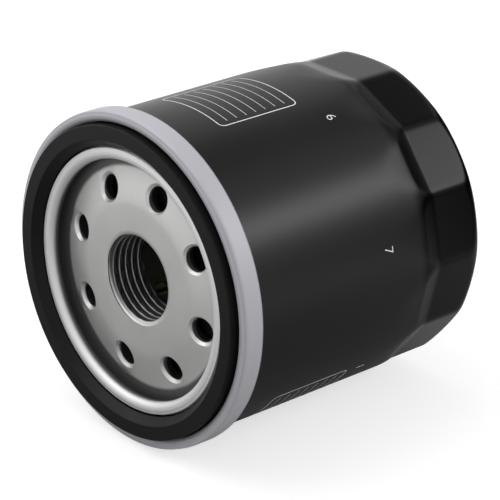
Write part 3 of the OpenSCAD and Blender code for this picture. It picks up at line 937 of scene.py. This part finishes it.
def make_plate():
    """Presses, drills and threads the plate."""
    plate, bore, bore_rows = settings().plate, bore_radius(), 110
    radius, foot, top = reach("threaded_plate")
    low, back = top - plate.fall, top - plate.thickness
    neck = bore + plate.neck_wall
    small = plate.edge_round / 2
    rows = [(bore, foot + (top - foot) * k / bore_rows) for k in range(bore_rows + 1)]
    mouth = bore + plate.lead_width
    face = rounded([(mouth - MM, top), (mouth + 2 * small, top)] + dish_slope(top) + [
        (radius, low, small), (radius, low - plate.thickness, small)]
        + dish_slope(back)[::-1] + [(neck, back, 1 * MM), (neck, foot, small), (bore, foot)])

    def threaded(point_radius, height, turn):
        if point_radius > bore + HAIR:
            return point_radius
        return thread_radius(bore, height, turn, top, foot)

    blank = lathe("threaded_plate_blank", rows + face[1:-1], 224, threaded)
    inlet, bevel = plate.inlet_radius, plate.inlet_bevel
    drill = lathe("inlet_drill", rounded([
        (0.0, -2 * plate.thickness), (inlet, -2 * plate.thickness), (inlet, -bevel, bevel / 2),
        (inlet + bevel, 0.0, bevel / 3), (inlet + 3 * bevel, bevel / 4),
        (inlet + 3 * bevel, 2 * bevel), (0.0, 2 * bevel)]), 64)
    tilt = math.atan(1.5 * plate.fall / plate.dish)
    place = laid(dish_rim() - plate.dish / 2, 0.0, top - plate.fall / 2)
    drill.data.transform(Matrix.Translation(place) @ Matrix.Rotation(tilt, 4, "Z"))
    piece = copied("plate_with_thread", blank, drill, plate.inlets,
                   inputs={"Turn": plate.inlet_turn})
    settle(piece, "plate_zinc", "housing", "threaded_plate", crease=32)


# --- Inside pieces ---

def standing_strip(name, corners, thickness, low, high, rows=1, ends=True):
    """A strip of sheet on edge, whose line across the axis is given by corners (x, z)."""
    loop = sheet(corners, thickness)
    half = len(loop) // 2
    mesh = bmesh.new()
    front, back = [[[
        mesh.verts.new((point.x, -(low + (high - low) * row / rows), point.y)) for point in side]
        for row in range(rows + 1)] for side in (loop[:half], loop[half:][::-1])]
    for i in range(half - 1):
        for wall in (front, back):
            for row, above in zip(wall, wall[1:]):
                mesh.faces.new((row[i], row[i + 1], above[i + 1], above[i]))
        for row in (0, rows):
            mesh.faces.new((front[row][i], front[row][i + 1], back[row][i + 1], back[row][i]))
    for i in (0, half - 1) if ends else ():
        for row in range(rows):
            mesh.faces.new((front[row][i], back[row][i], back[row + 1][i], front[row + 1][i]))
    return piece_from(name, mesh)


def prism(name, loop, near, far):
    """A bar along +X between two distances, whose outline is (sideways, height)."""
    mesh = bmesh.new()
    bridge(mesh, [[mesh.verts.new((x, -height, side)) for side, height in loop]
                  for x in (near, far)], closed=False)
    return piece_from(name, mesh)


def collar_radius():
    """Inside radius of the end caps' collars."""
    element = settings().element
    return (reach("centre_tube").radius - element.tube_sheet - settings().lid.layer_gap
            - element.cap_sheet)


def coil_radius():
    """Outside radius of the element spring."""
    return collar_radius() - 0.3 * MM


def make_compound():
    """Colours the seam's compound, which keeps its CAD shape."""
    node = frame["nodes"]["seam_compound"]
    node.data.materials.clear()
    node.data.materials.append(material("seam_compound"))


def make_drain_back_valve():
    """Moulds the drain-back valve."""
    element, plate = settings().element, settings().plate
    lip, bottom, top = reach("drainback_valve")
    outer = collar_radius() - element.fit
    inner = outer - element.hub_wall
    relief = 1 * MM + element.fit
    plate_foot = reach("threaded_plate").top - plate.fall - plate.thickness
    root = plate_foot - element.valve_cone
    seat = reach("upper_end_cap").top
    shelf, flange = seat + element.valve_seat, outer + element.valve_flange
    edge = element.flap / 6
    piece = lathe("rubber_drain_valve", rounded([
        (inner, top - relief), (inner + relief, top), (outer, top, edge), (outer, root, 2 * edge),
        (lip - element.valve_lip, plate_foot, edge), (lip, plate_foot, edge),
        (lip, plate_foot - element.flap, 2 * edge), (outer, root - element.flap, edge),
        (outer, shelf, edge), (flange, shelf, 2 * edge), (flange, seat, edge), (outer, seat),
        (outer, bottom, edge), (inner, bottom, edge)]), 144)
    settle(piece, "valve_rubber", None, "drainback_valve", crease=50)
    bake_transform(piece)


def make_end_caps():
    """Presses the element's end caps."""
    element, bypass = settings().element, settings().bypass
    half, collar, bend = element.cap_sheet / 2, collar_radius(), element.cap_sheet
    rim, bottom, top = reach("upper_end_cap")
    upper = [(collar + half, bottom), (collar + half, top - half, bend),
             (rim - half, top - half, bend), (rim - half, top - element.cap_skirt)]
    rim, bottom, top = reach("lower_end_cap")
    hole = bypass.bore + bypass.sheet + settings().lid.layer_gap
    lower = [(rim - half, bottom + element.cap_skirt), (rim - half, bottom + half, bend),
             (collar + half, bottom + half, bend), (collar + half, top - half, bend),
             (hole, top - half)]
    for name, line, node in (("upper_cap", upper, "upper_end_cap"),
                             ("lower_cap", lower, "lower_end_cap")):
        settle(lathe(name, sheet(line, element.cap_sheet), 192), "tinplate", "element", node)


def make_adhesive():
    """Pours the end caps' adhesive."""
    inner = reach("centre_tube").radius + settings().lid.layer_gap
    for name, node, up in (("upper_glue", "upper_adhesive", -1),
                           ("lower_glue", "lower_adhesive", 1)):
        outer, bottom, top = reach(node)
        base, face = (bottom, top) if up > 0 else (top, bottom)
        creep = (top - bottom) / 4
        level = face - creep * up / 2
        loop = rounded([
            (inner, base), (outer, base), (outer, face), (outer - creep, level, creep),
            (inner + creep, level, creep), (inner, face)])
        settle(lathe(name, loop, 144), "adhesive", "element", node)


def make_centre_tube():
    """Rolls and punches the centre tube."""
    element = settings().element
    wall, hole = element.tube_sheet, element.tube_hole
    outer, bottom, top = reach("centre_tube")
    blank = lathe("tube_blank", rounded(oblong(outer - wall, outer, bottom, top, wall / 5)), 128)
    drill = lathe("tube_drill", oblong(0.0, hole, 0.0, 4 * wall), 32)
    pitch = (top - bottom) / (element.tube_rings + 1)
    drill.data.transform(Matrix.Translation(laid(outer + wall, 0.0, top - pitch))
                         @ Matrix.Rotation(-math.pi / 2, 4, "Z"))
    piece = copied("perforated_tube", blank, drill, element.tube_columns, inputs={
        "Rings": element.tube_rings, "Ring Spacing": pitch, "Stagger": 0.5})
    settle(piece, "tube_steel", "element", "centre_tube")


def make_media():
    """Folds the filter paper."""
    element = settings().element
    outer, bottom, top = reach("pleated_media")
    clearance, bend, fold = 0.4 * MM, 0.22 * MM, 0.35 * MM
    tip = outer - element.paper / 2
    valley = reach("centre_tube").radius + clearance + element.paper / 2
    step = FULL_TURN / element.pleats

    def beside(radius, turn, sideways, bend_round):
        """A corner of the pleat, sideways of the line at a turn."""
        along = Vector((math.cos(turn), math.sin(turn)))
        across = Vector((-along.y, along.x))
        return (*(along * radius + across * sideways), bend_round)

    corners = [beside(valley, -step / 2, 0.0, 0.0), beside(valley, -step / 2, fold, fold * 0.9),
               beside(tip, 0.0, -bend, bend * 0.95), beside(tip, 0.0, bend, bend * 0.95),
               beside(valley, step / 2, -fold, fold * 0.9), beside(valley, step / 2, 0.0, 0.0)]
    pleat = standing_strip("one_pleat", corners, element.paper, bottom, top, rows=4, ends=False)
    piece = copied("paper_pleats", new_object("pleats"), pleat, element.pleats, cut=False)
    settle(piece, "filter_paper", "element", "pleated_media")


def make_clip():
    """Clips the joint of the filter paper."""
    element = settings().element
    outer, bottom, top = reach("pleat_clip")
    thickness, deep = 0.35 * MM, 3.2 * MM
    width = element.paper + 2 * element.fit + deep * 2 * math.tan(math.pi / element.pleats)
    side, face = (width + thickness) / 2, outer - thickness / 2
    piece = standing_strip("joint_clip", [
        (outer - deep, -side), (face, -side, thickness), (face, side, thickness),
        (outer - deep, side)], thickness, bottom, top)
    settle(piece, "tube_steel", "element", "pleat_clip", plain=True)


def make_bypass():
    """Makes the bypass valve's pieces."""
    bypass, gap = settings().bypass, settings().lid.layer_gap
    wall = bypass.bore + bypass.sheet
    flange, bottom, top = reach("bypass_housing")
    seat, edge = bottom + bypass.sheet, bypass.sheet / 3
    blank = lathe("bypass_cup", rounded([
        (bypass.port, bottom, edge), (flange, bottom, edge), (flange, seat, edge),
        (wall, seat, edge), (wall, top), (bypass.bore, top), (bypass.bore, seat, edge),
        (bypass.port, seat, edge)]), 128)
    sheet_top, half = reach("bypass_poppet").bottom + bypass.disc, bypass.slot_width / 2
    punch = prism("slot_punch", rounded(oblong(
        -half, half, sheet_top, sheet_top + bypass.slot_height, MM)), bypass.bore - MM, wall + MM)
    housing = copied("slotted_housing", blank, punch, bypass.slots)
    settle(housing, "tinplate", "element", "bypass_housing", plain=True)

    outer, bottom, seal_top = reach("bypass_seal")
    seal = lathe("poppet_seal", rounded(oblong(
        bypass.port - MM, outer, bottom, seal_top, (seal_top - bottom) / 7)), 96)
    settle(seal, "gasket_rubber", "poppet", "bypass_seal", plain=True)

    disc, bottom, cup_top = reach("bypass_poppet")
    cup, edge = bypass.coil_radius - bypass.wire / 2 - settings().element.fit, bypass.disc / 4
    poppet = lathe("valve_poppet", rounded([
        (0.0, bottom), (disc, bottom, edge), (disc, sheet_top, edge), (cup, sheet_top, edge),
        (cup, cup_top, bypass.disc), (0.0, cup_top)]), 96)
    settle(poppet, "tinplate", "poppet", "bypass_poppet", plain=True)

    outer, skirt, crown = reach("bypass_retainer")
    retainer = lathe("crimped_retainer", rounded([
        (bypass.eye, top - bypass.disc, edge), (bypass.bore - gap, top - bypass.disc, edge),
        (bypass.bore - gap, top), (wall + gap, top), (wall + gap, skirt, edge / 2),
        (outer, skirt, edge / 2), (outer, crown, 3 * edge), (bypass.bore - MM, crown, edge),
        (bypass.bore - MM, top, edge), (bypass.eye, top, edge)]), 128)
    settle(retainer, "tinplate", "element", "bypass_retainer", plain=True)


def coil(name, body, node, turns, radius, wire, bottom, top):
    """A settled coil of wire between two heights, grown by the coil tree."""
    piece = grown(new_object(name), group("coil_of_wire", coil_tree), {
        "Turns": turns, "Radius": radius, "Wire": wire, "Bottom": bottom, "Top": top,
        "Material": material("spring_steel")})
    settle(piece, "spring_steel", body, node, crease=60)
    return piece


def make_springs():
    """Coils both springs."""
    bypass, element = settings().bypass, settings().element
    bottom = reach("bypass_poppet").bottom + bypass.disc
    top = reach("bypass_housing").top - bypass.disc
    small = coil("bypass_coil", "element", "bypass_spring", bypass.turns, bypass.coil_radius,
                 bypass.wire, bottom, top)
    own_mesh(small)

    bottom = reach("spring_seat").bottom + element.cap_sheet
    top = reach("lower_end_cap").top - element.cap_sheet
    large = coil("element_coil", "housing", "element_spring", bypass.tail_turns,
                 coil_radius() - bypass.tail_wire / 2, bypass.tail_wire, bottom, top)
    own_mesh(large)


def make_spring_seat():
    """Presses the seat of the element spring."""
    element, bypass = settings().element, settings().bypass
    outer, bottom, top = reach("spring_seat")
    half = element.cap_sheet / 2
    inner = coil_radius() - bypass.tail_wire - element.fit - element.cap_sheet
    piece = lathe("pressed_spring_seat", sheet([
        (inner + half, top), (inner + half, bottom + half, 2 * half), (outer, bottom + half)],
        element.cap_sheet), 128)
    settle(piece, "tinplate", "housing", "spring_seat", plain=True)


# --- Printing ---

CAP_HEIGHT = 0.7                # Height of a capital as a share of the font's size.
PANEL_SPAN = 32                 # Degrees of turn that a panel covers.
PANELS = {"upper_panel": 90, "lower_panel": -53}


def wrap(mesh, turn, place):
    """Bends a flat mesh round the wall, at a turn and a distance from the plate's face.

    The mesh's +X runs clockwise and its +Y towards the closed end.
    """
    radius = settings().canister.radius + settings().print.ink
    height = reach("threaded_plate").top - place
    for vert in mesh.vertices:
        sideways, up, out = vert.co
        vert.co = laid(radius + out, turn - sideways / radius, height - up)


def make_numbers():
    """Prints the index numbers that count the turns of tightening."""
    marks = settings().print
    step = FULL_TURN / marks.numbers
    for number in range(1, marks.numbers + 1):
        text = bpy.data.curves.new("number", "FONT")
        text.body = str(number)
        text.align_x = text.align_y = "CENTER"
        text.size = marks.digit_height / CAP_HEIGHT
        text.extrude = marks.ink / 2
        text.offset = -marks.thinning
        text.resolution_u = 6
        writing = new_object("number", text)
        piece = new_object(f"index_number_{number}", plain_mesh(writing))
        bpy.data.objects.remove(writing)
        wrap(piece.data, marks.digit_turn + (marks.numbers - number) * step, marks.digit_place)
        settle(merged(piece), "white_ink", "housing")


def make_panels():
    """Prints two empty ruled panels."""
    marks = settings().print
    half = math.radians(PANEL_SPAN) * settings().canister.radius / 2
    deep = marks.panel_depth
    for name, middle in PANELS.items():
        mesh = bmesh.new()
        line_loop(mesh, subdivided(rounded(oblong(
            -half, half, -deep / 2, deep / 2, marks.panel_round))), marks.line, marks.ink)
        for row in range(1, marks.rules + 1):
            level = deep * (row / (marks.rules + 1) - 0.5)
            bar(mesh, half - marks.panel_round, level, marks.rule, marks.ink)
        piece = piece_from(name, mesh)
        wrap(piece.data, math.radians(middle), marks.panel_place)
        settle(merged(piece), "white_ink", "housing")


def subdivided(points, longest=1 * MM):
    """A closed line with no step longer than a limit."""
    result = []
    for i, point in enumerate(points):
        after = Vector(points[(i + 1) % len(points)])
        point = Vector(point)
        steps = max(1, math.ceil((after - point).length / longest))
        result += [point.lerp(after, k / steps) for k in range(steps)]
    return result


def line_loop(mesh, points, width, thickness):
    """A closed line of ink with a square section."""
    rings = []
    for i, point in enumerate(points):
        along = (points[(i + 1) % len(points)] - points[i - 1]).normalized()
        across = Vector((-along.y, along.x)) * width / 2
        rings.append([mesh.verts.new((*(point + across * side), thickness / 2 * level))
                      for side, level in ((1, 1), (-1, 1), (-1, -1), (1, -1))])
    bridge(mesh, rings)


def bar(mesh, half_length, level, width, thickness):
    """A straight line of ink along X, cut in steps so that it can be bent."""
    low, high, steps = level - width / 2, level + width / 2, 24
    section = ((high, 1), (low, 1), (low, -1), (high, -1))
    bridge(mesh, [[mesh.verts.new((half_length * (2 * k / steps - 1), y, side * thickness / 2))
                   for y, side in section] for k in range(steps + 1)], closed=False)


# --- Studio ---

EYE = Vector((359.04, -299.63, 216.10)) * MM      # Where the camera stands.
MIDDLE = Vector((0.0, 28 * MM, 0.0))              # What lamps and cards face.
SENSOR_WIDTH = 36.0
NEAREST, FARTHEST = 0.01, 20.0
FLOOR_GREY = (0.52, 0.52, 0.52, 1.0)
FLOOR_GLOW, WORLD_GLOW = 0.66, 0.5

# Direction from the middle, distance, width and height, with watts for the lamps.
LAMPS = {
    "side_softbox": ((0.62, 0.616, 0.485), 0.9, 0.5, 0.15, 2.6),
    "top_softbox": ((-0.5, -0.35, 0.85), 1.3, 1.4, 1.4, 9.9),
}
CARDS = {
    "side_flag": ((0.784, 0.62, -0.06), 1.1, 0.4, 0.2),
    "top_flag": ((-0.1, 0.62, 0.78), 1.1, 0.5, 0.25),
    "back_flag": ((0.18, 0.97, 0.15), 1.1, 1.35, 0.95),
    "low_flag": ((0.34, 0.93, -0.08), 0.21, 0.22, 0.12),
}


def view_axes(studio):
    """Directions in which the camera looks, has its right side and has its top."""
    turn, rise, roll = studio.azimuth, studio.elevation, studio.roll
    ahead = Vector((-math.sin(turn) * math.cos(rise), math.cos(turn) * math.cos(rise),
                    -math.sin(rise)))
    right = ahead.cross(Vector((0, 0, 1))).normalized()
    top = right.cross(ahead)
    spin = Matrix.Rotation(-roll, 3, ahead)
    return ahead, spin @ right, spin @ top


def make_camera(studio):
    """Sets up the camera."""
    data = bpy.data.cameras.new("camera")
    data.lens = studio.lens
    data.sensor_width = SENSOR_WIDTH
    data.clip_start, data.clip_end = NEAREST, FARTHEST
    camera = new_object("camera", data)
    ahead, right, top = view_axes(studio)
    turned = Matrix((right, top, -ahead)).transposed().to_4x4()
    camera.matrix_world = Matrix.Translation(EYE) @ turned
    bpy.context.scene.camera = camera


def face_middle(thing, towards, distance):
    """Puts a lamp or card in a direction from the filter's middle, facing it."""
    direction = Vector(towards).normalized()
    thing.location = MIDDLE + direction * distance
    thing.rotation_euler = direction.to_track_quat("Z", "Y").to_euler()


def softbox(name, towards, distance, width, height, power):
    """An area lamp."""
    data = bpy.data.lights.new(name, "AREA")
    data.shape = "RECTANGLE"
    data.size, data.size_y = width, height
    data.energy = power
    face_middle(new_object(name, data), towards, distance)


def stage_plane(name, size, rgba, roughness=0.5):
    """A square plane of the stage with a flat colour, and its shader."""
    bpy.ops.mesh.primitive_plane_add(size=size)
    plane = bpy.context.object
    plane.name = name
    surface = bpy.data.materials.new(name)
    surface.use_nodes = True
    shader = surface.node_tree.nodes["Principled BSDF"]
    shader.inputs["Base Color"].default_value = rgba
    shader.inputs["Roughness"].default_value = roughness
    shader.inputs["Specular IOR Level"].default_value = 0.0
    plane.data.materials.append(surface)
    return plane, shader


def dark_card(name, towards, distance, width, height):
    """A black card that only reflections see."""
    card, _ = stage_plane(name, 1.0, BLACK)
    face_middle(card, towards, distance)
    card.scale = (width, height, 1.0)
    card.visible_camera = card.visible_diffuse = card.visible_shadow = False
    card.visible_transmission = False


def rays_seen(tree, mask=None):
    """1 for the rays of the camera, and for those that metal or glass sends on, where masked."""
    path = add(tree, "ShaderNodeLightPath").outputs
    mirrored = calc(tree, "MAXIMUM", path["Is Glossy Ray"], path["Is Transmission Ray"])
    if mask is not None:
        mirrored = calc(tree, "MULTIPLY", mirrored, mask)
    return calc(tree, "MAXIMUM", path["Is Camera Ray"], mirrored)


def make_floor(studio):
    """A pale floor. The camera sees it white, and so does metal, away from the filter's shadow."""
    floor, shader = stage_plane("floor", studio.floor_size, FLOOR_GREY, roughness=0.9)
    floor.rotation_euler = (studio.floor_tilt, 0.0, 0.0)
    floor.location = (0.0, 0.0, -reach("seaming_lid").radius)
    shader.inputs["Emission Color"].default_value = WHITE
    tree = shader.id_data
    place = add(tree, "ShaderNodeTexCoord").outputs["Object"]
    away = add(tree, "ShaderNodeVectorMath", {0: place}, operation="LENGTH").outputs["Value"]
    seen = rays_seen(tree, past(tree, away, 0.0, 80, 250))
    glow = calc(tree, "MULTIPLY", seen, FLOOR_GLOW)
    tree.links.new(glow, shader.inputs["Emission Strength"])


def make_world():
    """A white world that lights softly and is seen at full strength."""
    world = bpy.context.scene.world = bpy.data.worlds.new("studio")
    world.use_nodes = True
    tree = world.node_tree
    shown = calc(tree, "MULTIPLY", rays_seen(tree), 1.0 - WORLD_GLOW)
    background = tree.nodes["Background"]
    background.inputs["Color"].default_value = WHITE
    tree.links.new(calc(tree, "ADD", WORLD_GLOW, shown), background.inputs["Strength"])


def make_stage():
    """Sets up the camera, floor, lamps and cards."""
    studio = settings().studio
    make_camera(studio)
    make_world()
    make_floor(studio)
    for name, values in LAMPS.items():
        softbox(name, *values)
    for name, values in CARDS.items():
        dark_card(name, *values)
    bpy.context.scene.view_settings.view_transform = "Standard"


# --- Operators and panel ---

def maker(make):
    """An operator class that runs one of the functions above, named and described after it."""
    name = make.__name__.removeprefix("make_")

    def execute(self, context):
        make()
        return {"FINISHED"}

    return type("OILFILTER_OT_" + name, (bpy.types.Operator,), {
        "bl_idname": "oilfilter." + name, "bl_label": name.replace("_", " ").title(),
        "__doc__": make.__doc__, "execute": execute})


MAKERS = [maker(make) for make in (
    make_stage, make_canister, make_lid, make_plate, make_gasket, make_compound,
    make_drain_back_valve, make_end_caps, make_adhesive, make_centre_tube, make_media, make_clip,
    make_bypass, make_springs, make_spring_seat, make_numbers, make_panels,
)]

GROUPS = [
    OilFilterCanister, OilFilterLid, OilFilterPlate, OilFilterGasket, OilFilterElement,
    OilFilterBypass, OilFilterPrint, OilFilterFinish, OilFilterStudio, OilFilterSettings,
]


class OILFILTER_PT_pieces(bpy.types.Panel):
    """Buttons for the filter's pieces."""

    bl_label = "Oil Filter"
    bl_idname = "OILFILTER_PT_pieces"
    bl_space_type = "VIEW_3D"
    bl_region_type = "UI"
    bl_category = "Oil Filter"

    def draw(self, context):
        for one in MAKERS:
            self.layout.operator(one.bl_idname)


def register():
    for one in GROUPS:
        for key, entry in one.__annotations__.items():
            entry.keywords["name"] = key.replace("_", " ").capitalize()
    for one in GROUPS + MAKERS + [OILFILTER_PT_pieces]:
        bpy.utils.register_class(one)
    bpy.types.Scene.oil_filter = PointerProperty(type=OilFilterSettings)


def unregister():
    del bpy.types.Scene.oil_filter
    for one in reversed(GROUPS + MAKERS + [OILFILTER_PT_pieces]):
        bpy.utils.unregister_class(one)


def main():
    register()
    for one in MAKERS:
        getattr(bpy.ops.oilfilter, one.bl_idname.split(".")[1])()


if __name__ == "__main__":
    main()
